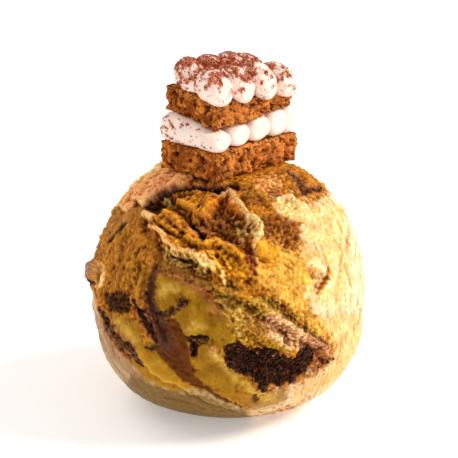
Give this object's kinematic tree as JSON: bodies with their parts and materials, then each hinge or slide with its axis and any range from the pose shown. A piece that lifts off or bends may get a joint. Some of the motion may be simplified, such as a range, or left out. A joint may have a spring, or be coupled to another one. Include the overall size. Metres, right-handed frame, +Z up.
{
  "type": "gelato scoop with tiramisu slice",
  "caption": "Round scoop of marbled gelato on a small flat spot, topped with a small rectangular slice of layered sponge and piped cream.",
  "frame": {"origin": "middle of the flat spot that the scoop rests on, under the ball's centre", "axes": "+Z up from the flat spot through the ball to the slice, the side shown in the picture faces -Y, +X to its right"},
  "size_m": [0.0648, 0.064, 0.0789],
  "materials": {
    "gelato": "satin",
    "coffee_sponge": "matte",
    "mascarpone_cream": "satin"
  },
  "bodies": {
    "root": {"gelato_scoop": "gelato", "sponge_lower": "coffee_sponge", "cream_lower": "mascarpone_cream", "sponge_upper": "coffee_sponge", "cream_upper": "mascarpone_cream"}
  },
  "joints": []
}
